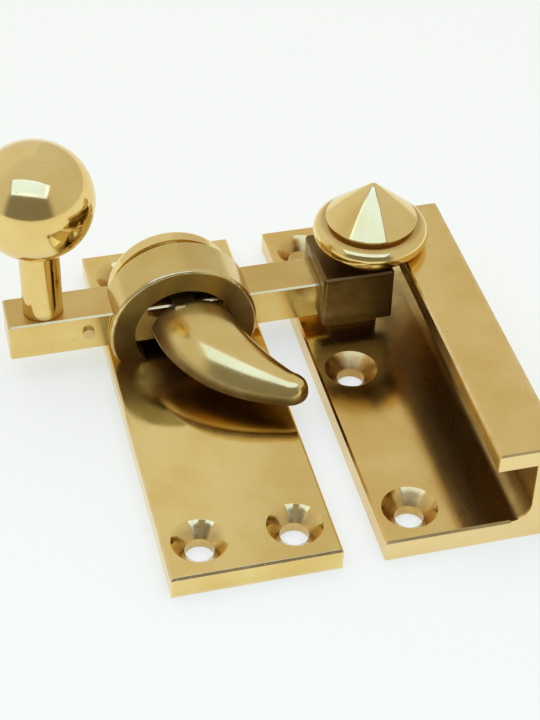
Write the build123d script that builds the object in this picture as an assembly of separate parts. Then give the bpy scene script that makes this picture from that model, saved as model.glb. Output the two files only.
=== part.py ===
"""Toggle bolt latch in cast and turned brass: a bar bolt with a ball knob slides through a barrel
housing on one plate into a socket post on the other, and a hinged toggle lever holds it.

Layout while modelling: X = 0 at the middle of the gap between the plates, Y = 0 on the bolt's
centre line, Z = 0 at the plates' underside.  Everything is shifted at the end, so that the
origin is at the middle of the whole latch's footprint.
"""
from build123d import *
from math import atan2, cos, degrees, hypot, radians, sin, sqrt
import os

# ---- driving dimensions (mm) ----
plate_width = 22.0
plate_length = 65.0
plate_thick = 3.2
plate_gap = 5.5
plate_mid_y = -12.7          # middle of the plates, measured from the bolt's line
edge_break = 0.3             # small bevel on the plates' upper edges

hole_rad = 1.9               # clearance for a No. 6 wood screw
sink_rad = 3.65              # rim of the countersink
bolt_plate_hole_x = 12.3     # hole spacing across the bolt plate
bolt_plate_hole_y = 53.6     # hole spacing along it
keep_plate_hole_y = 27.2     # spacing of the three holes in a line
keep_plate_hole_in = 4.7     # the line's distance from the plate's inner edge

bolt_width = 6.35            # quarter inch bar, drawn a little flatter than square
bolt_depth = 5.75
bolt_under = 5.3             # height of the bolt's underside
bolt_left = -38.2
bolt_tip = 13.0
bolt_fit = 0.1               # clearance each side in its guides
bolt_throw_left = 1.9        # how much further in the bolt can go
bolt_travel = 18.0           # how far back it draws

knob_x = -33.0
stem_rad = 2.75
ball_rad = 8.0
ball_height = 29.3           # height of the ball's centre

barrel_x = -14.3
barrel_rad = 10.3
bore_rad = 6.9
barrel_height = 7.3          # height of the barrel's axis
barrel_front = -4.4
barrel_step = 2.3            # the barrel's full ring ends here
barrel_back = 4.6            # and its smaller back drum here
drum_rad = 8.4
cap_rad = 8.9
cap_depth = 4.0

pivot_y = -1.5
pivot_height = 12.4
pivot_rad = 0.6
eye_rad = 1.15
neck_width = 3.0

rail_left = 16.55            # inner edge of the rail's top
rail_thick = 2.6
rail_top = 15.2
rail_back = 6.1
wall_thick = 3.0
inner_fillet = 2.5

post_left = 5.3              # the socket post's block, beside the rail
post_right = 15.4
post_half = 5.4              # half its width along the plate
foot_inset = 1.7             # the foot is this much smaller all round
shoulder_top = 13.3          # the block ends here and its collar starts
collar_x = 13.15
collar_rad = 4.6

bead_rad = 8.0
finial_base = 15.35
finial_top = 24.75

# ---- worked-out places ----
bolt_plate_x = -(plate_gap + plate_width) / 2
keep_plate_x = -bolt_plate_x
plate_front = plate_mid_y - plate_length / 2
outer_edge = plate_gap / 2 + plate_width
bolt_mid = bolt_under + bolt_depth / 2
bolt_top = bolt_under + bolt_depth
centre_x = (knob_x - ball_rad + outer_edge) / 2
LOW = (Align.CENTER, Align.CENTER, Align.MIN)
HIGH = (Align.CENTER, Align.CENTER, Align.MAX)


def along_y(radius, start, end, x, z):
    """A round bar that lies along Y from start to end."""
    middle = (start + end) / 2
    return Pos(x, middle, z) * Rot(90, 0, 0) * Cylinder(radius, end - start)


def along_x(radius, start, end, y, z):
    """A round bar that lies along X from start to end."""
    middle = (start + end) / 2
    return Pos(middle, y, z) * Rot(0, 90, 0) * Cylinder(radius, end - start)


def upright(radius, low, high, x, y):
    """A round bar that stands from low to high."""
    return Pos(x, y, low) * Cylinder(radius, high - low, align=LOW)


def box_between(x0, x1, y0, y1, z0, z1):
    return Pos((x0 + x1) / 2, (y0 + y1) / 2, (z0 + z1) / 2) * Box(x1 - x0, y1 - y0, z1 - z0)


def coil(mean_rad, wire_rad, length, turns):
    """A close helix of round wire, standing on its end."""
    path = Helix(pitch=length / turns, height=length, radius=mean_rad)
    section = Plane(path @ 0, z_dir=path % 0) * Circle(wire_rad)
    return sweep(section, path=path, is_frenet=True)


def screw_hole(x, y):
    """Clearance hole with a 90 degree countersink, cut from the plate's face."""
    sink_depth = sink_rad - hole_rad
    shank = upright(hole_rad, -1, plate_thick + 1, x, y)
    cone = Pos(x, y, plate_thick) * Cone(hole_rad, sink_rad, sink_depth, align=HIGH)
    return shank + cone


def plate_blank(x):
    blank = Pos(x, plate_mid_y, 0) * Box(plate_width, plate_length, plate_thick, align=LOW)
    return chamfer(blank.edges().group_by(Axis.Z)[-1], edge_break)


def rivet(radius, x, top):
    """A rivet set from below: a countersunk head at the underside and a plain shank."""
    head = Pos(x, 0, 0) * Cone(radius + 0.8, radius, 0.8, align=LOW)
    return head + upright(radius, 0, top, x, 0)


# ---- the bolt plate's side ----
housing_rivet_rad = 1.0
housing_rivet_top = 4.4
housing_rivet_places = [barrel_x - 6.6, barrel_x + 6.6]
dog_rad = 0.8
dog_top = bolt_under + 1.2


def housing_rivets():
    return [rivet(housing_rivet_rad, x, housing_rivet_top) for x in housing_rivet_places]


def bolt_dog_pin():
    """Pin pressed in the plate; it rides in the bolt's groove and stops it at both ends."""
    return upright(dog_rad, 0.4, dog_top, barrel_x, 0)


def bolt_plate():
    plate = plate_blank(bolt_plate_x)
    for side_x in (-1, 1):
        for side_y in (-1, 1):
            x = bolt_plate_x + side_x * bolt_plate_hole_x / 2
            y = plate_mid_y + side_y * bolt_plate_hole_y / 2
            plate -= screw_hole(x, y)
    for one in housing_rivets():
        plate -= one
    return plate - bolt_dog_pin()


def above_plate(shape):
    """Keep only what stands above the plate's face."""
    return shape & Pos(barrel_x, 0, plate_thick) * Box(40, 40, 40, align=LOW)


pin_left = barrel_x - 6.5
pin_right = barrel_x + 8.3


def lever_pivot_pin():
    return along_x(pivot_rad, pin_left, pin_right, pivot_y, pivot_height)


def bolt_passage(x0, x1):
    """The square passage that guides the bolt."""
    half = bolt_width / 2 + bolt_fit
    return box_between(x0, x1, -half, half, bolt_under - bolt_fit, bolt_top + bolt_fit)


def barrel_housing():
    barrel = along_y(barrel_rad, barrel_front, barrel_step, barrel_x, barrel_height)
    barrel = fillet(barrel.edges().filter_by(GeomType.CIRCLE), 0.45)
    barrel += along_y(drum_rad, barrel_step, barrel_back, barrel_x, barrel_height)
    barrel -= along_y(bore_rad, barrel_front - 1, barrel_back + 1, barrel_x, barrel_height)
    barrel -= bolt_passage(barrel_x - 12, barrel_x + 12)
    barrel = above_plate(barrel)
    for one in housing_rivets():
        barrel -= one
    return barrel - lever_pivot_pin()


pad_rad = 1.45
pad_front = bolt_width / 2 + 0.05
pad_back = pad_front + 1.5
cap_bore_end = 7.6
cap_spigot = 0.7


def friction_pad():
    """Plug that the spring presses on the bolt's back face, so that the bolt stays put."""
    return along_y(pad_rad, pad_front, pad_back, barrel_x, bolt_mid)


def pad_spring():
    length = cap_bore_end - pad_back - 0.6
    spring = coil(1.0, 0.2, length, 3.5)
    return Pos(barrel_x, cap_bore_end - 0.3, bolt_mid) * Rot(90, 0, 0) * spring


def rear_cap():
    """Domed cap that closes the barrel's back and holds the friction pad and its spring."""
    rim_y = barrel_back + 1.2
    end_y = barrel_back + cap_depth
    outline = [
        Polyline((0, barrel_back), (cap_rad, barrel_back), (cap_rad, rim_y)),
        Spline((cap_rad, rim_y), (cap_rad - 1.2, end_y - 1.2), (0, end_y),
               tangents=[(0, 1), (-1, 0)]),
        Line((0, end_y), (0, barrel_back)),
    ]
    face = make_face([edge for piece in outline for edge in piece.edges()])
    dome = Pos(barrel_x, 0, barrel_height) * revolve(face, axis=Axis.Y)
    spigot = along_y(bore_rad, barrel_back - cap_spigot, barrel_back, barrel_x, barrel_height)
    return above_plate(dome + spigot) - along_y(pad_rad + 0.03, 0, cap_bore_end, barrel_x, bolt_mid)


def lever_spring():
    """Torsion spring on the pivot pin, beside the lever's eye, which turns the lever down."""
    spring = coil(0.8, 0.13, 1.0, 3)
    start = barrel_x + neck_width / 2 + 0.25
    return Pos(start, pivot_y, pivot_height) * Rot(0, 90, 0) * spring


# ---- the bolt and its knob ----
groove_depth = 1.5
tenon_rad = 1.75
ball_flat = ball_height - sqrt(ball_rad**2 - stem_rad**2)
stud_rad = 1.5
stud_low = ball_flat - 3.5
stud_high = ball_flat + 4.5
stop_pin_rad = 0.8
stop_pin_x = -27.4
stop_pin_z = 8.4


def throw_stop_pin():
    """Small pin in the bolt's front face, which meets the barrel when the bolt is fully in."""
    face = -bolt_width / 2
    return along_y(stop_pin_rad, face - 0.5, face + 2.0, stop_pin_x, stop_pin_z)


def bolt_bar():
    half = bolt_width / 2
    bar = box_between(bolt_left, bolt_tip, -half, half, bolt_under, bolt_top)
    bar = chamfer(bar.edges(), 0.25)
    groove_from = barrel_x - bolt_throw_left - dog_rad - 0.1
    groove_to = barrel_x + bolt_travel + dog_rad + 0.1
    wide = dog_rad + 0.1
    bar -= box_between(groove_from, groove_to, -wide, wide, bolt_under - 1, bolt_under + groove_depth)
    bar -= upright(tenon_rad, bolt_under - 1, bolt_top + 1, knob_x, 0)
    return bar - throw_stop_pin()


def knob_stem():
    stem = upright(stem_rad, bolt_top, ball_flat, knob_x, 0)
    stem += upright(tenon_rad, bolt_under + 0.25, bolt_top, knob_x, 0)
    return stem - upright(stud_rad, stud_low, ball_flat, knob_x, 0)


def ball_stud():
    return upright(stud_rad, stud_low, stud_high, knob_x, 0)


def ball_knob():
    ball = Pos(knob_x, 0, ball_height) * Sphere(ball_rad)
    ball = ball & Pos(knob_x, 0, ball_flat) * Box(40, 40, 40, align=LOW)
    return ball - upright(stud_rad, 0, stud_high, knob_x, 0)


# ---- the toggle lever ----
horn_root = (-13.4, -4.7)
horn_bend = (-11.6, -13.4)
horn_tip = (-1.9, -19.0)
# along the line, half width, underside, crown
horn_stations = (
    (0.0, 5.7, 7.6, 12.9),
    (0.3, 5.6, 6.2, 12.4),
    (0.6, 5.0, 5.4, 11.3),
    (0.84, 3.8, 5.1, 9.9),
    (0.94, 2.5, 5.1, 8.8),
)
horn_rim = 0.22              # height of the crisp rim, as a part of the section's height
horn_base = 0.74             # the underside's width, as a part of the rim's
crown_start = 16             # angle at which the crown leaves the rim


def horn_point(t):
    """Place and heading on the horn's centre line, a quadratic curve seen from above."""
    a, b, c = horn_root, horn_bend, horn_tip
    place = [(1 - t) ** 2 * p + 2 * t * (1 - t) * q + t * t * r for p, q, r in zip(a, b, c)]
    heading = [(1 - t) * (q - p) + t * (r - q) for p, q, r in zip(a, b, c)]
    return place, heading


def horn_section(t, half, low, high):
    """Section across the horn: a narrow flat underside, a crisp rim and a high round crown."""
    (x, y), (hx, hy) = horn_point(t)
    across = (-hy / hypot(hx, hy), hx / hypot(hx, hy), 0)
    plane = Plane(origin=(x, y, 0), x_dir=across, z_dir=(across[1], -across[0], 0))
    up = 1 if plane.y_dir.Z > 0 else -1
    rim = low + horn_rim * (high - low)
    lowest = sin(radians(crown_start))
    crown = []
    for turn in (crown_start, 40, 65, 90, 115, 140, 180 - crown_start):
        side = half * cos(radians(turn)) / cos(radians(crown_start))
        height = rim + (high - rim) * (sin(radians(turn)) - lowest) / (1 - lowest)
        crown.append((side, up * height))
    base = Polyline(crown[-1], (-horn_base * half, up * low), (horn_base * half, up * low), crown[0])
    return plane * make_face([*base.edges(), Spline(*crown)])


def horn_end():
    """Rounded end that closes the horn: a flattened ball on its last section."""
    t, half, low, high = horn_stations[-1]
    (x, y), (hx, hy) = horn_point(t)
    ball = scale(Sphere(1), (half, half, (high - low) / 2))
    return Pos(x, y, (low + high) / 2) * Rot(0, 0, degrees(atan2(hy, hx))) * ball


def toggle_lever():
    """Curved horn with a short neck that reaches into the barrel and hinges on the pin."""
    horn = loft([horn_section(*station) for station in horn_stations]) + horn_end()
    face_y = horn_root[1]
    horn = horn & box_between(-30, 20, -40, face_y, 0, 30)
    neck_half = neck_width / 2
    neck_x = (barrel_x - neck_half, barrel_x + neck_half)
    neck_low = bolt_top + bolt_fit
    neck = box_between(*neck_x, face_y - 1.5, pivot_y, neck_low, pivot_height + 0.35)
    eye = along_x(eye_rad, *neck_x, pivot_y, pivot_height)
    pin_hole = along_x(pivot_rad + 0.04, pin_left, pin_right, pivot_y, pivot_height)
    return horn + neck + eye - pin_hole


# ---- the keeper plate's side ----
post_rivet_rad = 2.2
post_rivet_top = 4.6
post_x = (post_left + post_right) / 2
finial_stud_rad = 2.0
finial_stud_low = shoulder_top - 1.6
finial_stud_high = 20.5


def post_rivet():
    return rivet(post_rivet_rad, post_x, post_rivet_top)


def finial_stud():
    return upright(finial_stud_rad, finial_stud_low, finial_stud_high, collar_x, 0)


def socket_post():
    """Square post on a smaller foot, with a passage for the bolt and a round collar on top."""
    under = bolt_under - bolt_fit
    post = box_between(post_left, post_right, -post_half, post_half, under, shoulder_top)
    post = fillet(post.edges().filter_by(Axis.Z), 0.5)
    post = chamfer(post.edges().group_by(Axis.Z)[-1], 0.3)
    foot_half = post_half - foot_inset
    foot = (post_left + foot_inset, post_right - foot_inset, -foot_half, foot_half)
    post += box_between(*foot, plate_thick, under)
    post += upright(collar_rad, shoulder_top, finial_base, collar_x, 0)
    post -= bolt_passage(post_left - 1, post_right + 1)
    return post - post_rivet() - finial_stud()


def finial():
    """Turned finial: a fat bead, a groove and a cone with a rounded point."""
    base, top = finial_base, finial_top
    bead_thick = 1.6
    bead_in = bead_rad - bead_thick
    bead_mid = base + bead_thick
    bead_side = bead_in + 0.7 * bead_thick
    groove_rad = 5.6
    groove_low = bead_mid + bead_thick
    rim_rad = 6.3
    rim_low = base + 3.7
    rim_high = rim_low + 0.4
    tip_rad = 1.1
    tip_low = top - 0.55
    outline = [
        Line((0, base), (bead_in, base)),
        Spline(
            (bead_in, base),
            (bead_side, bead_mid - 0.7 * bead_thick),
            (bead_rad, bead_mid),
            (bead_side, bead_mid + 0.7 * bead_thick),
            (bead_in, groove_low),
            tangents=[(1, 0), (-1, 0)],
        ),
        Polyline(
            (bead_in, groove_low),
            (groove_rad, groove_low),
            (groove_rad, rim_low - 0.1),
            (rim_rad, rim_low),
            (rim_rad, rim_high),
            (tip_rad, tip_low),
        ),
        Spline(
            (tip_rad, tip_low),
            (tip_rad / 2, top - 0.13),
            (0, top),
            tangents=[(-1, 0.9), (-1, 0)],
        ),
        Line((0, top), (0, base)),
    ]
    face = make_face([edge for piece in outline for edge in piece.edges()])
    solid = revolve(Plane.XZ * face, axis=Axis.Z)
    return Pos(collar_x, 0, 0) * solid - finial_stud()


def keeper_plate():
    """Plate, wall and overhanging rail in one casting."""
    plate = plate_blank(keep_plate_x)
    for place in (-1, 0, 1):
        plate -= screw_hole(plate_gap / 2 + keep_plate_hole_in, plate_mid_y + place * keep_plate_hole_y)
    wall_x = outer_edge - wall_thick
    wall = box_between(wall_x, outer_edge, plate_front, rail_back, 0.5, rail_top)
    rail = box_between(rail_left, outer_edge, plate_front, rail_back, rail_top - rail_thick, rail_top)
    rail = chamfer(rail.edges().group_by(Axis.Z)[-1], 0.25)
    corner = box_between(
        wall_x - inner_fillet, wall_x + 0.5, plate_front, rail_back, plate_thick - 0.5,
        plate_thick + inner_fillet,
    )
    corner -= along_y(
        inner_fillet, plate_front - 1, rail_back + 1, wall_x - inner_fillet,
        plate_thick + inner_fillet,
    )
    casting = plate + wall + rail + corner
    casting -= upright(collar_rad + 0.15, rail_top - rail_thick - 1, rail_top + 1, collar_x, 0)
    return casting - post_rivet()


NODES = dict(
    bolt_plate=bolt_plate,
    barrel_housing=barrel_housing,
    housing_rivets=housing_rivets,
    rear_cap=rear_cap,
    friction_pad=friction_pad,
    pad_spring=pad_spring,
    lever_pivot_pin=lever_pivot_pin,
    lever_spring=lever_spring,
    bolt_dog_pin=bolt_dog_pin,
    bolt_bar=bolt_bar,
    throw_stop_pin=throw_stop_pin,
    knob_stem=knob_stem,
    ball_stud=ball_stud,
    ball_knob=ball_knob,
    toggle_lever=toggle_lever,
    keeper_plate=keeper_plate,
    socket_post=socket_post,
    post_rivet=post_rivet,
    finial_stud=finial_stud,
    finial=finial,
)

os.makedirs("parts", exist_ok=True)
to_origin = Pos(-centre_x, -plate_mid_y, 0)
for name, make in NODES.items():
    made = make()
    solids = made if isinstance(made, list) else [made]
    pieces = [to_origin * solid for piece in solids for solid in piece.solids()]
    shape = pieces[0] if len(pieces) == 1 else Compound(children=pieces)
    export_step(shape, f"parts/{name}.step")
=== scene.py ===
from math import atan2, cos, pi, radians, sin, sqrt

import bmesh
import bpy
from mathutils import Matrix, Vector


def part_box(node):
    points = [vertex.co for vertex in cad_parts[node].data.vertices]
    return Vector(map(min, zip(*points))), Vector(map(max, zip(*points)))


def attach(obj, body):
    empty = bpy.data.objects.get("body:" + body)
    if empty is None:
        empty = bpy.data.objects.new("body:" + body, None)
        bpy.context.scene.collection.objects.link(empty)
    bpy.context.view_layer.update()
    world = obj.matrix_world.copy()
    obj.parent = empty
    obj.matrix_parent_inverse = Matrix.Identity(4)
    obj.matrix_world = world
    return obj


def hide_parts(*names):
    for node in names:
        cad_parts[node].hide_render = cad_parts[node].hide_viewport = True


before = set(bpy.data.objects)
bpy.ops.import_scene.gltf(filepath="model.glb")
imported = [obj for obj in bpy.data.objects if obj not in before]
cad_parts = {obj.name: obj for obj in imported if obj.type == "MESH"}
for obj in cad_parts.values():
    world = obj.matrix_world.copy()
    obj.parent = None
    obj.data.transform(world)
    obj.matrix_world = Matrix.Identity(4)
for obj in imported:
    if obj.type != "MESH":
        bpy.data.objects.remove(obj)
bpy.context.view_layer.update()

# The bolt plate: a flat cast brass plate, milled flat and mopped to a mirror on a
# buffing wheel.  Four countersunk holes take the screws, and handling has rounded
# its edges and left them paler than the faces.

mm = 0.001
plate_low, plate_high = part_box("bolt_plate")
plate_mid = (plate_low + plate_high) / 2 / mm
plate_top = plate_high.z / mm
hole_rim = 3.65
hole_across, hole_along = 6.15, 26.8
bolt_plate_holes = [
    (plate_mid.x + side_x * hole_across, plate_mid.y + side_y * hole_along)
    for side_x in (-1, 1)
    for side_y in (-1, 1)
]
# Colours that the masks lay on: brown for grime and for painted shade, pale brass for rubbing and
# for painted highlights, dark brown for painted shade.
grime_and_shade_brown = (0.40, 0.21, 0.06, 1)
rubbed_and_sheen_brass = (0.93, 0.78, 0.46, 1)
painted_shade_brown = (0.12, 0.056, 0.009, 1)


class Value:
    """A shader number that Python arithmetic can use: each sign adds its Math node."""

    def __init__(self, tree, socket):
        self.tree = tree
        self.socket = socket

    def math(self, operation, *terms):
        node = self.tree.nodes.new("ShaderNodeMath")
        node.operation = operation
        for slot, term in zip(node.inputs, terms):
            plug(self.tree, slot, term)
        return Value(self.tree, node.outputs[0])

    def __add__(self, other):
        return self.math("ADD", self, other)

    def __radd__(self, other):
        return self.math("ADD", other, self)

    def __sub__(self, other):
        return self.math("SUBTRACT", self, other)

    def __rsub__(self, other):
        return self.math("SUBTRACT", other, self)

    def __mul__(self, other):
        return self.math("MULTIPLY", self, other)

    def __rmul__(self, other):
        return self.math("MULTIPLY", other, self)

    def __truediv__(self, other):
        return self.math("DIVIDE", self, other)

    def least(self, other):
        return self.math("MINIMUM", self, other)

    def most(self, other):
        return self.math("MAXIMUM", self, other)

    def root(self):
        return self.math("SQRT", self)

    def size(self):
        return self.math("ABSOLUTE", self)

    def clipped(self):
        return self.least(1.0).most(0.0)

    def ramp(self, start, end):
        """0 at start and 1 at end, smooth between them."""
        part = ((self - start) / (end - start)).clipped()
        return part * part * (3.0 - 2.0 * part)


def plug(tree, slot, term):
    if isinstance(term, Value):
        tree.links.new(term.socket, slot)
    else:
        slot.default_value = term


def from_axis(first, second):
    """How far a place is from an axis, from its two offsets across it."""
    return (first * first + second * second).root()


class Shading:
    """A node tree, and the one way in which nodes are added to it."""

    def __init__(self, tree):
        self.tree = tree

    def node(self, kind, settings=None, *links, output=0, **inputs):
        made = self.tree.nodes.new(kind)
        for field, setting in (settings or {}).items():
            setattr(made, field, setting)
        for slot, term in zip(made.inputs, links):
            plug(self.tree, slot, term)
        for name, term in inputs.items():
            plug(self.tree, made.inputs[name.replace("_", " ")], term)
        return Value(self.tree, made.outputs[output])

    def parts(self, vector):
        """A place or a direction as its three numbers."""
        split = self.node("ShaderNodeSeparateXYZ", None, vector)
        return [Value(self.tree, socket) for socket in split.socket.node.outputs]


class Finish(Shading):
    """A surface finish: one Principled shader and the nodes that vary it.  x, y and z are
    the place on the surface in millimetres."""

    def __init__(self, name, metallic=1.0, **constants):
        self.material = bpy.data.materials.new(name)
        self.material.use_nodes = True
        super().__init__(self.material.node_tree)
        self.shader = self.tree.nodes["Principled BSDF"]
        self.shader.inputs["Metallic"].default_value = metallic
        for socket, number in constants.items():
            self.shader.inputs[socket.replace("_", " ")].default_value = number
        place = self.node("ShaderNodeTexCoord", output="Object")
        scaled = dict(operation="SCALE")
        self.point = self.node("ShaderNodeVectorMath", scaled, place, Scale=1 / mm)
        self.x, self.y, self.z = self.parts(self.point)

    def noise(self, stretch=(1, 1, 1), scale=1.0, detail=3.0, roughness=0.5):
        """Cloudy grain about 1/scale mm wide, drawn out where stretch is small."""
        drawn = self.node("ShaderNodeVectorMath", dict(operation="MULTIPLY"), self.point, stretch)
        return self.node(
            "ShaderNodeTexNoise", None, Vector=drawn, Scale=scale, Detail=detail, Roughness=roughness
        )

    def line_noise(self, along, scale, detail=2.0):
        """Grain that varies only with one number, as the rings that a lathe tool leaves."""
        line = dict(noise_dimensions="1D")
        return self.node("ShaderNodeTexNoise", line, W=along, Scale=scale, Detail=detail)

    def mix(self, amount, first, second):
        """One colour over another, by an amount from 0 to 1."""
        factor_slot, first_slot, second_slot, colour_out = 0, 6, 7, 2
        made = self.node("ShaderNodeMix", dict(data_type="RGBA"), output=colour_out)
        slots = made.socket.node.inputs
        for index, term in ((factor_slot, amount), (first_slot, first), (second_slot, second)):
            plug(self.tree, slots[index], term)
        return made

    def coat(self, colour, roughness, height, depth):
        """Finishes the surface; height is its relief, and depth that relief in millimetres."""
        plug(self.tree, self.shader.inputs["Base Color"], colour)
        plug(self.tree, self.shader.inputs["Roughness"], roughness)
        bump = self.node("ShaderNodeBump", None, Strength=1.0, Distance=depth * mm, Height=height)
        plug(self.tree, self.shader.inputs["Normal"], bump)


def nowhere(finish):
    return 0.0


def brass(name, stroke, gloss, wear_and_sheen=nowhere, dirt_and_shade=nowhere, painted_shade=nowhere, tint=(1, 1, 1)):
    """Buffed brass.  stroke draws out the polishing lines, gloss is its finest roughness.
    Its three masks, in order, pale it where it is rubbed and where a highlight or reflection is
    painted, brown it where grime is and where shade is painted, and paint shade on it in dark brown."""
    finish = Finish(name)
    cloud = finish.noise(scale=0.10, detail=4.0).ramp(0.32, 0.68)
    lines = finish.noise(stretch=stroke, scale=1.6, detail=4.0, roughness=0.6)
    long_stroke = [0.25 + 0.75 * part for part in stroke]
    smears = finish.noise(stretch=long_stroke, scale=0.35).ramp(0.4, 0.75)
    specks = finish.noise(scale=2.8, detail=1.0).ramp(0.70, 0.78)
    grime_and_shade, rubbed_and_sheen, dark = dirt_and_shade(finish), wear_and_sheen(finish), painted_shade(finish)
    red, green, blue = tint
    pale = (0.87 * red, 0.675 * green, 0.275 * blue, 1)
    rich = (0.80 * red, 0.575 * green, 0.195 * blue, 1)
    colour = finish.mix(cloud, pale, rich)
    # Brown for grime and painted shade, dark brown for painted shade, pale brass for rubbing and
    # painted highlights.
    colour = finish.mix(specks * 0.35 + grime_and_shade * 0.75, colour, grime_and_shade_brown)
    colour = finish.mix(dark * 0.9, colour, painted_shade_brown)
    colour = finish.mix(rubbed_and_sheen * 0.55, colour, rubbed_and_sheen_brass)
    polish = gloss + lines * 0.07 + smears * 0.05
    dulled = specks * 0.15 + grime_and_shade * 0.20 + rubbed_and_sheen * 0.04 + dark * 0.22
    relief = lines * 0.6 - specks * 0.8 + smears * 0.2
    finish.coat(colour, polish + dulled, relief, depth=0.004)
    return finish.material


def box_edges(low, high, width):
    """A mask on a block's edges: two of its three faces are near there."""

    def mask(finish):
        near = []
        for place, start, end in zip((finish.x, finish.y, finish.z), low, high):
            near.append((place - start / mm).least(end / mm - place).size())
        x, y, z = near
        second = x.least(y).most(x.most(y).least(z))
        ragged = finish.noise(scale=0.8, detail=2.0) * width
        return 1.0 - (second + ragged * 0.5).ramp(0.15 * width, width)

    return mask


def countersink_grime(finish, holes):
    """Polish and dust left in the countersinks."""
    filled = []
    for hole_x, hole_y in holes:
        away = from_axis(finish.x - hole_x, finish.y - hole_y)
        filled.append(1.0 - away.ramp(0.62 * hole_rim, 1.02 * hole_rim))
    return (sum(filled) * (finish.noise(scale=0.9, detail=3.0) * 0.7 + 0.25)).clipped()


def spot(finish, centre, half_across, half_along):
    """A soft-edged patch on a plate; each half is where it starts to fade and where it ends."""
    centre_x, centre_y = centre
    beside = (finish.x - centre_x).size().ramp(*half_across)
    before = (finish.y - centre_y).size().ramp(*half_along)
    return (1.0 - beside) * (1.0 - before)


def bolt_plate_dust_and_shade(finish):
    """Grime in the countersinks, and a painted shade and dark reflection on the plate in front of
    the barrel under the lever.
    """
    under_lever = spot(finish, (plate_mid.x + 0.5, 4.0), (5.0, 11.0), (3.0, 9.0))
    mottled = (under_lever * (finish.noise(scale=0.4, detail=4.0) * 0.9 + 0.1)).clipped()
    return (countersink_grime(finish, bolt_plate_holes) + mottled * 0.8).clipped()


def above_underside(finish):
    """0 on a plate's underside, 1 on what shows above it."""
    return finish.z.ramp(1.0, 2.0)


def barrel_corner_shade(finish):
    """Painted shade, brown, on the plate in the corner between barrel and lever, for the barrel's
    shadow and dark reflection there.
    """
    corner = spot(finish, (plate_mid.x - 6.0, 5.0), (2.0, 6.5), (1.5, 6.0))
    mottle = finish.noise(scale=0.35, detail=4.0) * 0.8 + 0.25
    return above_underside(finish) * corner * mottle


def brass_piece(name, shape, finish, node, body):
    """Makes a piece of a mesh, smooth where it curves, that stands for a node and rides with it."""
    mesh = bpy.data.meshes.new(name)
    shape.to_mesh(mesh)
    shape.free()
    mesh.shade_smooth()
    mesh.materials.append(finish)
    made = bpy.data.objects.new(name, mesh)
    bpy.context.scene.collection.objects.link(made)
    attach(made, body)
    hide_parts(node)
    return made


def milled(node, finish, body, rounding):
    """A node's own shape as one clean mesh, its sharp edges rounded as the mop leaves them."""
    shape = bmesh.new()
    shape.from_mesh(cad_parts[node].data)
    flat_within = radians(0.4)
    bmesh.ops.remove_doubles(shape, verts=shape.verts, dist=0.0005 * mm)
    bmesh.ops.dissolve_limit(shape, angle_limit=flat_within, verts=shape.verts, edges=shape.edges)
    made = brass_piece(node + "_brass", shape, finish, node, body)
    edges = made.modifiers.new("rounded edges", "BEVEL")
    edges.width = rounding * mm
    edges.segments = 3
    edges.limit_method = "ANGLE"
    edges.angle_limit = radians(32)
    flats = made.modifiers.new("true flats", "WEIGHTED_NORMAL")
    flats.weight = 100


bolt_plate_finish = brass(
    "bolt plate mirror brass",
    stroke=(1.0, 0.06, 1.0),
    gloss=0.035,
    wear_and_sheen=box_edges(plate_low, plate_high, 0.7),
    dirt_and_shade=bolt_plate_dust_and_shade,
    painted_shade=barrel_corner_shade,
)
milled("bolt_plate", bolt_plate_finish, "plates", rounding=0.12)

# The barrel housing: a short cast barrel that stands on the plate.  Its outside is
# polished round and round.  Its bore and its front face, behind the lever, are left
# duller and painted dark brown as shade; its lower sides and foot carry painted shade
# too, and its front rim a painted highlight.

barrel_low, barrel_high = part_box("barrel_housing")
barrel_x = (barrel_low.x + barrel_high.x) / 2 / mm
barrel_rad = (barrel_high.x - barrel_low.x) / 2 / mm
barrel_z = barrel_high.z / mm - barrel_rad
barrel_front = barrel_low.y / mm


def from_barrel_axis(finish):
    return from_axis(finish.x - barrel_x, finish.z - barrel_z)


def barrel_foot_shade(finish):
    """Painted shade where the barrel meets the plate, and a brown painted shade low on its sides."""
    foot = 1.0 - finish.z.ramp(plate_top, plate_top + 1.4)
    low = 1.0 - finish.z.ramp(barrel_z - 4.0, barrel_z + 7.0)
    return foot * 0.4 + low * (finish.noise(scale=0.3, detail=4.0) * 0.5 + 0.2)


def barrel_painted_shade(finish):
    """Painted shade on the bore and on the flat front face behind the lever, strongest low down."""
    away = from_barrel_axis(finish)
    bore = 1.0 - away.ramp(0.655 * barrel_rad, 0.68 * barrel_rad)
    at_front = 1.0 - (finish.y - barrel_front).ramp(0.05, 0.3)
    within_rim = 1.0 - away.ramp(0.95 * barrel_rad, 0.98 * barrel_rad)
    low_down = 1.0 - finish.z.ramp(plate_top + 2.0, barrel_high.z / mm) * 0.45
    mottle = finish.noise(scale=0.35, detail=4.0) * 0.5 + 0.75
    return bore.most(at_front * within_rim * low_down * mottle).clipped()


def barrel_rim_wear_and_sheen(finish):
    """The front rim's upper half, paled where hands and the mop take the colour off, and as a
    painted highlight along the rim.
    """
    outer = from_barrel_axis(finish).ramp(0.93 * barrel_rad, 0.97 * barrel_rad)
    front = 1.0 - (finish.y - barrel_front).ramp(0.15, 0.8)
    high = finish.z.ramp(barrel_z - 2.0, barrel_z + 4.0)
    return outer * front * high * finish.noise(scale=0.7).ramp(0.3, 0.7)


barrel_finish = brass(
    "barrel polished brass",
    stroke=(0.5, 1.6, 0.5),
    gloss=0.12,
    wear_and_sheen=barrel_rim_wear_and_sheen,
    dirt_and_shade=barrel_foot_shade,
    painted_shade=barrel_painted_shade,
    tint=(0.84, 0.83, 0.78),
)
milled("barrel_housing", barrel_finish, "plates", rounding=0.14)

# The rear cap: a turned dome pressed into the barrel's back.  The lathe and the mop
# have left faint lines round it.

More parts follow.
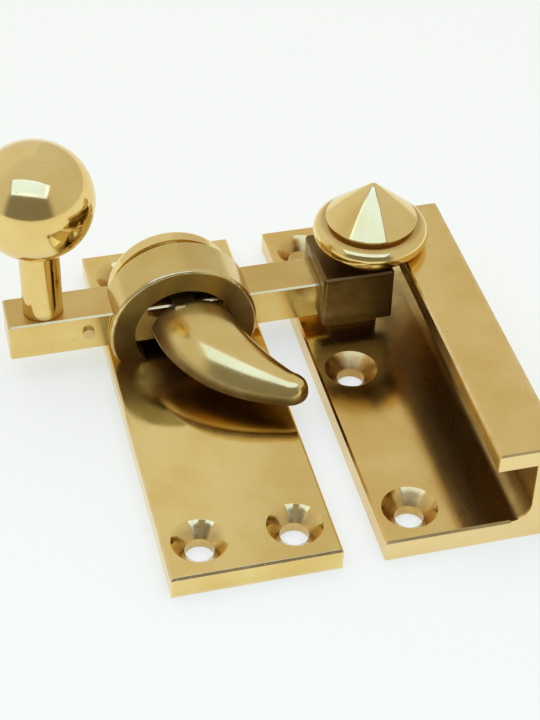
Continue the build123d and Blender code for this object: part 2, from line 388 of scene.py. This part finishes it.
cap_finish = brass("rear cap turned brass", stroke=(0.6, 1.8, 0.6), gloss=0.06)
milled("rear_cap", cap_finish, "plates", rounding=0.12)

# The rivets that hold the barrel and the post are brass wire, hammered over and filed
# flush with the plates' undersides.  The pins and studs are drawn brass rod.


def drawn_brass(name, stroke, gloss):
    """Brass rod as drawn: duller and browner than what has been on the mop."""
    finish = Finish(name)
    lines = finish.noise(stretch=stroke, scale=4.0, detail=4.0)
    stain = finish.noise(scale=0.6, detail=4.0).ramp(0.45, 0.7)
    colour = finish.mix(stain * 0.6, (0.80, 0.58, 0.25, 1), (0.45, 0.26, 0.09, 1))
    finish.coat(colour, gloss + lines * 0.18 + stain * 0.1, lines, depth=0.006)
    return finish.material


def refinish(node, finish):
    """Gives a node that keeps its own shape its real finish."""
    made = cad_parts[node]
    made.data.materials.clear()
    made.data.materials.append(finish)


rivet_brass = drawn_brass("rivet hammered brass", (1, 1, 1), 0.24)
pin_brass = drawn_brass("pin drawn brass", (0.1, 1, 1), 0.16)
stud_brass = drawn_brass("stud drawn brass", (1, 1, 3.0), 0.20)
for node in ("housing_rivets", "post_rivet", "friction_pad"):
    refinish(node, rivet_brass)
for node in ("lever_pivot_pin", "bolt_dog_pin"):
    refinish(node, pin_brass)
for node in ("ball_stud", "finial_stud"):
    refinish(node, stud_brass)

# The two springs are bright steel music wire: one presses the friction pad on the bolt,
# the other turns the lever down on its pin.

spring_steel = Finish("spring steel wire")
wire_grain = spring_steel.noise(scale=6.0, detail=3.0)
wire_tint = spring_steel.mix(wire_grain, (0.48, 0.48, 0.50, 1), (0.62, 0.61, 0.60, 1))
spring_steel.coat(wire_tint, 0.2 + wire_grain * 0.15, wire_grain, depth=0.003)
for node in ("pad_spring", "lever_spring"):
    refinish(node, spring_steel.material)

# The bolt: a drawn brass bar, finished along its length with emery and then mopped.
# Sliding in the barrel and the post has left fine lengthwise scratches.  The stop pin
# in its front shows only its filed end.

bar_low, bar_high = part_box("bolt_bar")
bolt_y = (bar_low.y + bar_high.y) / 2 / mm
bar_top = bar_high.z / mm


def bar_top_grime(finish):
    """The top, which fingers slide along, has browned a little."""
    top = finish.z.ramp(bar_top - 0.35, bar_top - 0.1)
    return top * (finish.noise(stretch=(0.3, 1, 1), scale=0.5) * 0.3 + 0.16)


bolt_finish = brass(
    "bolt bar mopped brass",
    stroke=(0.04, 1.0, 1.0),
    gloss=0.15,
    wear_and_sheen=box_edges(bar_low, bar_high, 0.4),
    dirt_and_shade=bar_top_grime,
    tint=(0.95, 0.93, 0.88),
)
milled("bolt_bar", bolt_finish, "bolt", rounding=0.08)
refinish("throw_stop_pin", drawn_brass("stop pin end brass", (1, 1, 1), 0.3))

# The knob: a stem turned from rod and riveted through the bolt, and a ball screwed on
# its top.  Both are finished on the lathe, the ball to a mirror.

stem_low, stem_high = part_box("knob_stem")
ball_low, ball_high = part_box("ball_knob")
stud_low, stud_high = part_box("ball_stud")
knob_x = (stem_low.x + stem_high.x) / 2 / mm
stem_rad = (stem_high.x - stem_low.x) / 2 / mm
stem_top = stem_high.z / mm
tenon_rad = 1.75
ball_rad = (ball_high.x - ball_low.x) / 2 / mm
ball_z = ball_high.z / mm - ball_rad
stud_rad = (stud_high.x - stud_low.x) / 2 / mm
break_edge = 0.12
lathe_steps = 128
sharp_corner = radians(40)


def arc(centre, radius, start, end, steps):
    """Points along a round stretch of an outline, from one angle to another."""
    turns = [radians(start + (end - start) * step / steps) for step in range(steps + 1)]
    return [(centre[0] + radius * cos(turn), centre[1] + radius * sin(turn)) for turn in turns]


def turned(name, outline, x, y, finish, node, body):
    """Spins an outline of radius and height about an upright axis at x, y."""
    shape = bmesh.new()
    line = [shape.verts.new(((x + radius) * mm, y * mm, height * mm)) for radius, height in outline]
    for first, second in zip(line, line[1:]):
        shape.edges.new((first, second))
    bmesh.ops.spin(
        shape, geom=shape.verts[:] + shape.edges[:], cent=(x * mm, y * mm, 0), axis=(0, 0, 1),
        dvec=(0, 0, 0), angle=2 * pi, steps=lathe_steps, use_merge=True,
    )
    bmesh.ops.remove_doubles(shape, verts=shape.verts, dist=0.002 * mm)
    bmesh.ops.recalc_face_normals(shape, faces=shape.faces)
    made = brass_piece(name, shape, finish, node, body)
    made.data.set_sharp_from_angle(angle=sharp_corner)


def lathe_brass(name, x, y, gloss, pitch, wear_and_sheen=nowhere, dirt_and_shade=nowhere):
    """Turned and mopped brass with the faint rings that the tool leaves round its axis."""
    finish = Finish(name)
    out = from_axis(finish.x - x, finish.y - y)
    rings = finish.line_noise(out + finish.z * 0.7, scale=pitch, detail=3.0)
    cloud = finish.noise(scale=0.12, detail=4.0).ramp(0.3, 0.7)
    specks = finish.noise(scale=2.6, detail=1.0).ramp(0.71, 0.8)
    grime_and_shade, rubbed_and_sheen = dirt_and_shade(finish), wear_and_sheen(finish)
    colour = finish.mix(cloud, (0.87, 0.68, 0.285, 1), (0.81, 0.59, 0.21, 1))
    # Brown for grime and for painted shade, pale brass where rubbed.
    colour = finish.mix(specks * 0.3 + grime_and_shade * 0.8, colour, (0.38, 0.19, 0.05, 1))
    colour = finish.mix(rubbed_and_sheen * 0.5, colour, (0.96, 0.82, 0.52, 1))
    roughness = gloss + rings * 0.05 + cloud * 0.02 + specks * 0.12 + grime_and_shade * 0.25
    finish.coat(colour, roughness, rings * 0.7 - specks * 0.5, depth=0.0025)
    return finish.material


def stem_end_grime(finish):
    """Grime where the stem stands on the bolt and meets the ball."""
    low = 1.0 - finish.z.ramp(bar_top + 0.1, bar_top + 1.1)
    high = finish.z.ramp(stem_top - 0.8, stem_top)
    return low.most(high) * (finish.noise(scale=0.8) * 0.5 + 0.4)


stem_outline = [
    (0, stud_low.z / mm),
    (stud_rad, stud_low.z / mm),
    (stud_rad, stem_top),
    (stem_rad - break_edge, stem_top),
    (stem_rad, stem_top - break_edge),
    (stem_rad, bar_top + break_edge),
    (stem_rad - break_edge, bar_top),
    (tenon_rad, bar_top),
    (tenon_rad, stem_low.z / mm),
    (0, stem_low.z / mm),
]
stem_finish = lathe_brass(
    "stem turned brass", knob_x, bolt_y, gloss=0.07, pitch=3.0, dirt_and_shade=stem_end_grime
)
turned("knob_stem_turned", stem_outline, knob_x, bolt_y, stem_finish, "knob_stem", "bolt")

ball_seat = -90 + atan2(stem_rad, sqrt(ball_rad**2 - stem_rad**2)) * 180 / pi
ball_outline = [
    (0, stud_high.z / mm),
    (stud_rad, stud_high.z / mm),
    (stud_rad, ball_low.z / mm),
    *arc((0, ball_z), ball_rad, ball_seat, 90, steps=64),
]
ball_finish = lathe_brass("ball mirror brass", knob_x, bolt_y, gloss=0.055, pitch=1.4)
turned("ball_knob_turned", ball_outline, knob_x, bolt_y, ball_finish, "ball_knob", "bolt")

# The toggle lever: one casting, a curved horn with a high crown and a flat underside,
# and a short neck that goes into the barrel and hinges on the pin.  Its crown is
# polished by hands.  Its sides, root and underside are painted brown and dark as shade and
# dark reflection, and its rim is painted pale as a highlight.

pin_low, pin_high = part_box("lever_pivot_pin")
pin_y = (pin_low.y + pin_high.y) / 2 / mm
pin_z = (pin_low.z + pin_high.z) / 2 / mm
horn_root = Vector((barrel_x + 0.9, bolt_y - 4.7))
horn_bend = Vector((barrel_x + 2.7, bolt_y - 13.4))
horn_tip = Vector((barrel_x + 12.4, bolt_y - 19.0))
half_widths = (5.7, 5.25, 2.2)
undersides = (7.6, 5.6, 5.1)
crowns = (12.9, 11.75, 8.5)
horn_rim = 0.22
horn_base = 0.74
crown_start = radians(16)
crown_corners = 13
stretch_rings = 14
end_rings = 6
end_starts = 0.94
end_turn = radians(82)
turn_in = 0.25
rim_crease = 0.62
neck_crease = 0.9
neck_half = 1.5
neck_low = bar_top + 0.12
neck_high = pin_z + 0.33
neck_front = horn_root.y - 1.2
eye_rad = 1.15
eye_steps = 32


def swell(t, root, middle, end):
    """A size that runs smoothly from the horn's root over its middle to its tip."""
    return (1 - t) ** 2 * root + 2 * t * (1 - t) * (2 * middle - (root + end) / 2) + t * t * end


def horn_size(t):
    """Half width, underside and crown of the horn at t along its length."""
    return swell(t, *half_widths), swell(t, *undersides), swell(t, *crowns)


def horn_place(t):
    """Place and heading; at the root the section is square to the barrel."""
    place = (1 - t) ** 2 * horn_root + 2 * t * (1 - t) * horn_bend + t * t * horn_tip
    heading = (1 - t) * (horn_bend - horn_root) + t * (horn_tip - horn_bend)
    swung = min(1.0, t / turn_in)
    return place, (heading.normalized() * swung + Vector((0, -1)) * (1 - swung)).normalized()


def horn_ring(place, heading, half, low, high):
    """A circle of corners drawn to the horn's section: a narrow flat underside, a crisp
    rim and a high round crown."""
    across = Vector((-heading.y, heading.x))
    rim = low + horn_rim * (high - low)
    outline = []
    for number in range(crown_corners):
        turn = crown_start + (pi - 2 * crown_start) * number / (crown_corners - 1)
        lift = (sin(turn) - sin(crown_start)) / (1 - sin(crown_start))
        outline.append((half * cos(turn) / cos(crown_start), rim + (high - rim) * lift))
    outline += [(side * horn_base * half, low) for side in (-1, 0, 1)]
    ring = bmesh.ops.create_circle(horn, segments=len(outline), radius=mm)["verts"]
    for corner, (side, height) in zip(ring, outline):
        flat_place = place + across * side
        corner.co = Vector((flat_place.x, flat_place.y, height)) * mm
    return ring


def ring_edges(ring):
    return {edge for corner in ring for edge in corner.link_edges if edge.other_vert(corner) in ring}


horn = bmesh.new()
crease = horn.edges.layers.float.new("crease_edge")
rings = []
for number in range(stretch_rings + 1):
    t = end_starts * number / stretch_rings
    rings.append(horn_ring(*horn_place(t), *horn_size(t)))
end_place, end_heading = horn_place(end_starts)
end_half, end_low, end_high = horn_size(end_starts)
end_rim = end_low + horn_rim * (end_high - end_low)
for number in range(1, end_rings + 1):
    turn = end_turn * number / end_rings
    size = cos(turn)
    ahead = end_place + end_heading * end_half * sin(turn)
    low, high = end_rim - (end_rim - end_low) * size, end_rim + (end_high - end_rim) * sqrt(size)
    rings.append(horn_ring(ahead, end_heading, end_half * size, low, high))
for before, after in zip(rings, rings[1:]):
    bmesh.ops.bridge_loops(horn, edges=list(ring_edges(before) | ring_edges(after)))
for ring in (rings[0], rings[-1]):
    bmesh.ops.contextual_create(horn, geom=ring)
bmesh.ops.recalc_face_normals(horn, faces=horn.faces)
for before, after in zip(rings, rings[1:]):
    for number in (0, crown_corners - 1):
        horn.edges.get((before[number], after[number]))[crease] = rim_crease
for first, second in zip(rings[0], rings[0][1:] + rings[0][:1]):
    horn.edges.get((first, second))[crease] = rim_crease
neck = bmesh.ops.create_cube(horn, size=1.0)["verts"]
for corner in neck:
    corner.co.x = (barrel_x + 2 * neck_half * corner.co.x) * mm
    corner.co.y = (neck_front if corner.co.y < 0 else pin_y) * mm
    corner.co.z = (neck_low if corner.co.z < 0 else neck_high) * mm
eye = bmesh.ops.create_cone(
    horn, cap_ends=True, segments=eye_steps, radius1=eye_rad * mm, radius2=eye_rad * mm,
    depth=2 * neck_half * mm,
)["verts"]
bmesh.ops.rotate(horn, verts=eye, cent=(0, 0, 0), matrix=Matrix.Rotation(pi / 2, 3, "Y"))
bmesh.ops.translate(horn, verts=eye, vec=Vector((barrel_x, pin_y, pin_z)) * mm)
for corner in neck + eye:
    for edge in corner.link_edges:
        edge[crease] = neck_crease


def up_the_side(finish):
    """About 0 at the horn's rim and 1 at the top of its crown, at any place along it."""
    root_rim, tip_rim, root_crown, tip_crown = 8.8, 5.85, 12.9, 8.5
    along = (horn_root.y - finish.y) / (horn_root.y - horn_tip.y)
    rim = root_rim - along * (root_rim - tip_rim)
    crown = root_crown - along * (root_crown - tip_crown)
    return (finish.z - rim) / (crown - rim)


def horn_painted_reflection(finish):
    """A painted dark reflection, brown, on the sides and near the root."""
    mottle = finish.noise(scale=0.3, detail=3.0) * 0.6 + 0.62
    side = 1.0 - up_the_side(finish).ramp(0.3, 0.72)
    root = finish.y.ramp(horn_root.y - 6.0, horn_root.y) * 0.7
    return (side.most(root) * mottle).clipped()


def horn_rim_highlight(finish):
    """A painted highlight along the crisp rim, in pale brass."""
    return (1.0 - up_the_side(finish).size().ramp(0.02, 0.11)) * 0.9


def horn_painted_shade(finish):
    """Painted shade on the neck inside the barrel and on the horn's underside, and a painted
    dark reflection on the foot of its sides."""
    inside = finish.y.ramp(horn_root.y - 0.3, horn_root.y + 0.6)
    under = 1.0 - finish.z.ramp(5.2, 6.2)
    height = up_the_side(finish)
    side = height.ramp(0.02, 0.12) * (1.0 - height.ramp(0.30, 0.82))
    mottle = finish.noise(stretch=(1, 0.5, 1), scale=0.45, detail=3.0) * 0.8 + 0.42
    return (inside + under * 0.8 + side * mottle).clipped()


horn_finish = brass(
    "toggle lever mirror brass",
    stroke=(0.5, 0.25, 1.0),
    gloss=0.13,
    wear_and_sheen=horn_rim_highlight,
    dirt_and_shade=horn_painted_reflection,
    painted_shade=horn_painted_shade,
    tint=(0.96, 0.95, 0.90),
)
lever = brass_piece("toggle_lever_horn", horn, horn_finish, "toggle_lever", "lever")
lever_skin = lever.modifiers.new("smooth skin", "SUBSURF")
lever_skin.levels = 3
lever_skin.render_levels = 3

# The keeper plate: plate, wall and overhanging rail in one casting.  The rail's top is
# emeried along its length and left a little duller, and the channel under it is painted
# dark brown as shade.

keeper_low, keeper_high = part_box("keeper_plate")
keeper_left, keeper_front = keeper_low.x / mm, keeper_low.y / mm
wall_right, rail_top = keeper_high.x / mm, keeper_high.z / mm
keeper_mid_y = (keeper_low.y + keeper_high.y) / 2 / mm
holes_in, holes_apart = 4.7, 27.2
keeper_holes = [
    (keeper_left + holes_in, keeper_mid_y + place * holes_apart) for place in (-1, 0, 1)
]
rail_inner = wall_right - 8.2
rail_back = keeper_high.y / mm - 13.7


def channel_painted_shade(finish):
    """Painted shade in the channel under the rail: wall, corner and rail's underside."""
    deep = finish.x.ramp(rail_inner - 4.4, rail_inner - 1.2)
    below = 1.0 - finish.z.ramp(rail_top - 0.9, rail_top - 0.3)
    inside = 1.0 - finish.x.ramp(wall_right - 0.5, wall_right - 0.3)
    front = finish.y.ramp(keeper_front + 0.1, keeper_front + 0.5)
    back = 1.0 - finish.y.ramp(rail_back - 0.8, rail_back + 1.6)
    mottle = finish.noise(scale=0.3, detail=4.0) * 0.6 + 0.34
    return (deep * below * inside * front * back * above_underside(finish) * mottle).clipped()


def keeper_dust_and_shade(finish):
    """Grime in the countersinks, and a painted shade and dark reflection round the post's foot."""
    foot = spot(finish, (keeper_left + 8.0, 6.0), (4.0, 8.0), (5.0, 12.0))
    low_down = 1.0 - finish.z.ramp(plate_top + 0.1, plate_top + 1.0)
    mottled = foot * finish.noise(scale=0.4, detail=4.0) * low_down
    return (countersink_grime(finish, keeper_holes) + mottled * 0.7).clipped()


def rail_wear_and_sheen(finish):
    """The rail's two upper edges, paled by handling, and the casting's front end, painted pale as a
    reflection of the bright table.
    """
    top = finish.z.ramp(rail_top - 1.0, rail_top - 0.2)
    to_edge = (finish.x - rail_inner).size().least((finish.x - wall_right).size())
    near = 1.0 - to_edge.ramp(0.1, 0.7)
    front_end = 1.0 - (finish.y - keeper_front).ramp(0.02, 0.12)
    return (top * near * finish.noise(scale=0.6).ramp(0.3, 0.65)).most(front_end * 0.7)


keeper_finish = brass(
    "keeper plate mirror brass",
    stroke=(1.0, 0.06, 1.0),
    gloss=0.10,
    wear_and_sheen=rail_wear_and_sheen,
    dirt_and_shade=keeper_dust_and_shade,
    painted_shade=channel_painted_shade,
    tint=(1.0, 0.955, 0.93),
)
milled("keeper_plate", keeper_finish, "plates", rounding=0.12)

# The socket post: a cast block on a smaller foot, filed square, with a passage for the
# bolt and a turned collar on top.  It stands in the corner by the rail, and its sides
# are painted dark brown as the shade and dark reflection there.


def post_painted_shade(finish):
    """Painted shade on the block's sides, darkest at its foot and under the finial."""
    foot = 1.0 - finish.z.ramp(5.0, 7.5)
    under = finish.z.ramp(12.2, 13.6)
    mottle = finish.noise(scale=0.5, detail=4.0) * 0.5 + 0.72
    return ((foot * 0.3 + under * 0.3 + 0.85) * mottle).clipped()


post_finish = brass("socket post filed brass", stroke=(0.12, 0.12, 1.0), gloss=0.14, painted_shade=post_painted_shade)
milled("socket_post", post_finish, "plates", rounding=0.1)

# The finial: turned from one bar, a fat bead, a deep groove and a cone with a rounded
# point, and screwed on the post's stud.

screw_low, screw_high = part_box("finial_stud")
finial_low, finial_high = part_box("finial")
collar_x = (screw_low.x + screw_high.x) / 2 / mm
screw_rad = (screw_high.x - screw_low.x) / 2 / mm
finial_base = finial_low.z / mm
finial_top = finial_high.z / mm
bead_rad = 1.6
bead_mid = finial_base + bead_rad
bead_out = (finial_high.x - finial_low.x) / 2 / mm - bead_rad - 0.01
groove_rad = 5.6
groove_corner = 0.24
rim_rad = 6.3
rim_low = finial_base + 3.7
rim_corner = 0.18
groove_mid = rim_low - groove_corner
cone_tip_rad = 0.9
cone_rise = finial_top - 0.5 - (rim_low + 0.45)
cone_slope = atan2(cone_rise, rim_rad) * 180 / pi
finial_outline = [
    (0, screw_high.z / mm),
    (screw_rad, screw_high.z / mm),
    (screw_rad, finial_base),
    *arc((bead_out, bead_mid), bead_rad, -90, 84, steps=28),
    *arc((groove_rad + 0.3, groove_mid), groove_corner, 250, 110, steps=8),
    *arc((rim_rad - rim_corner, rim_low + 0.2), rim_corner, -90, 90 - cone_slope, steps=8),
    *arc((0, finial_top - cone_tip_rad), cone_tip_rad, 90 - cone_slope, 90, steps=10),
]


def finial_painted_shade(finish):
    """Painted shade in the groove and under the bead."""
    groove = 1.0 - (finish.z - groove_mid).size().ramp(0.15, 0.55)
    under = 1.0 - finish.z.ramp(finial_base, finial_base + 0.9)
    return groove.most(under) * (finish.noise(scale=0.6) * 0.4 + 0.6)


def finial_wear(finish):
    """The cone's point, rubbed a little pale."""
    return finish.z.ramp(finial_top - 1.4, finial_top - 0.2) * 0.25


finial_finish = lathe_brass(
    "finial turned brass", collar_x, bolt_y, gloss=0.045, pitch=1.8,
    wear_and_sheen=finial_wear, dirt_and_shade=finial_painted_shade,
)
turned("finial_turned", finial_outline, collar_x, bolt_y, finial_finish, "finial", "plates")

# The setting: a plain pale table top, just clear of the plates' undersides, a window of
# soft light above the camera, and a bright room round it, darker at the camera's back
# and behind the window's panes.

floor_shape = bmesh.new()
floor_half = 0.9
floor_place = Matrix.Translation((0, 0, -0.1 * mm))
bmesh.ops.create_grid(floor_shape, x_segments=2, y_segments=2, size=floor_half, matrix=floor_place)
floor_mesh = bpy.data.meshes.new("table_top")
floor_shape.to_mesh(floor_mesh)
floor_shape.free()
floor = bpy.data.objects.new("table_top", floor_mesh)
bpy.context.scene.collection.objects.link(floor)
table = Finish("table top pale laminate", metallic=0.0, Emission_Strength=1.0)
table.shader.inputs["Emission Color"].default_value = (0.525, 0.555, 0.545, 1)
table_grain = table.noise(scale=0.05, detail=3.0)
table_tint = table.mix(table_grain, (0.43, 0.415, 0.35, 1), (0.415, 0.40, 0.34, 1))
table.coat(table_tint, 0.6 + table_grain * 0.1, table_grain, depth=0.01)
floor_mesh.materials.append(table.material)

window_azimuth, window_elevation = radians(-22), radians(61)
window_distance, window_wide, window_tall = 0.40, 0.50, 0.20
half_wide = window_wide / 2 / window_distance
half_tall = window_tall / 2 / window_distance
room_brightness = 0.68
pale_wall_more = 0.08
dark_corner_less = 0.43
behind_panes = 0.93
horizon = 0.05

room = bpy.data.worlds.new("soft room")
bpy.context.scene.world = room
room.use_nodes = True
air = Shading(room.node_tree)
east, north, up = air.parts(air.node("ShaderNodeTexCoord", output="Generated"))
level_part = (1.0 - up * up).most(0.0001).root()
to_corner = (north * -0.951 + east * -0.309) / level_part
dark_corner = to_corner.ramp(0.62, 0.80) * (1.0 - up.ramp(0.66, 0.77))
to_wall = (north * 0.25 - east * 0.968).ramp(-0.03, 0.03)
pale_wall = to_wall * north.ramp(0.1, 0.5) * (1.0 - up.ramp(0.75, 0.9))
to_window = (
    east * (sin(window_azimuth) * cos(window_elevation))
    - north * (cos(window_azimuth) * cos(window_elevation))
    + up * sin(window_elevation)
)
aside = (east * cos(window_azimuth) + north * sin(window_azimuth)) / to_window.most(horizon)
above = (
    up * cos(window_elevation)
    - east * (sin(window_azimuth) * sin(window_elevation))
    + north * (cos(window_azimuth) * sin(window_elevation))
) / to_window.most(horizon)
panes = (
    (1.0 - aside.size().ramp(half_wide - 0.06, half_wide + 0.04))
    * (1.0 - above.size().ramp(half_tall - 0.08, half_tall + 0.03))
    * to_window.ramp(0.1, 0.2)
)
walls = room_brightness + pale_wall * pale_wall_more - dark_corner * dark_corner_less
sky = room.node_tree.nodes["Background"]
plug(room.node_tree, sky.inputs["Strength"], walls * (1.0 - panes * behind_panes))
sky.inputs["Color"].default_value = (1.0, 0.985, 0.94, 1)


def soft_light(name, azimuth, elevation, distance, wide, tall, brightness, tint=(1, 1, 1)):
    """A rectangular light that faces the latch; its power gives the brightness it shows."""
    lamp = bpy.data.lights.new(name, "AREA")
    lamp.shape = "RECTANGLE"
    lamp.size, lamp.size_y = wide, tall
    lamp.energy = brightness * pi * wide * tall
    lamp.color = tint
    made = bpy.data.objects.new(name, lamp)
    away = Vector((sin(azimuth) * cos(elevation), -cos(azimuth) * cos(elevation), sin(elevation)))
    made.location = away * distance
    made.rotation_mode = "QUATERNION"
    made.rotation_quaternion = away.to_track_quat("Z", "Y")
    bpy.context.scene.collection.objects.link(made)
    return made


soft_light(
    "window", window_azimuth, window_elevation, window_distance, window_wide, window_tall,
    brightness=2.5, tint=(0.37, 0.53, 1.0),
)
overhead = soft_light(
    "overhead diffuser", 0, radians(89.9), distance=1.0, wide=1.3, tall=1.3, brightness=0.66
)
overhead.visible_glossy = False

view_azimuth = radians(15.05)
view_elevation = radians(41.56)
view_roll = radians(1.53)
view_distance = 0.2553
view_target = Vector((0.00598, 0.00766, 0.0))
forward = Vector((
    sin(view_azimuth) * cos(view_elevation),
    cos(view_azimuth) * cos(view_elevation),
    -sin(view_elevation),
))
level = Vector((cos(view_azimuth), -sin(view_azimuth), 0))
upward = level.cross(forward)
right = level * cos(view_roll) + upward * sin(view_roll)
top = upward * cos(view_roll) - level * sin(view_roll)
turned_to_latch = Matrix((right, top, -forward)).transposed().to_4x4()
lens = bpy.data.cameras.new("camera")
lens.lens = 90.12
lens.clip_start = 0.005
camera = bpy.data.objects.new("camera", lens)
camera.matrix_world = Matrix.Translation(view_target - forward * view_distance) @ turned_to_latch
bpy.context.scene.collection.objects.link(camera)
bpy.context.scene.camera = camera
bpy.context.scene.view_settings.view_transform = "Standard"
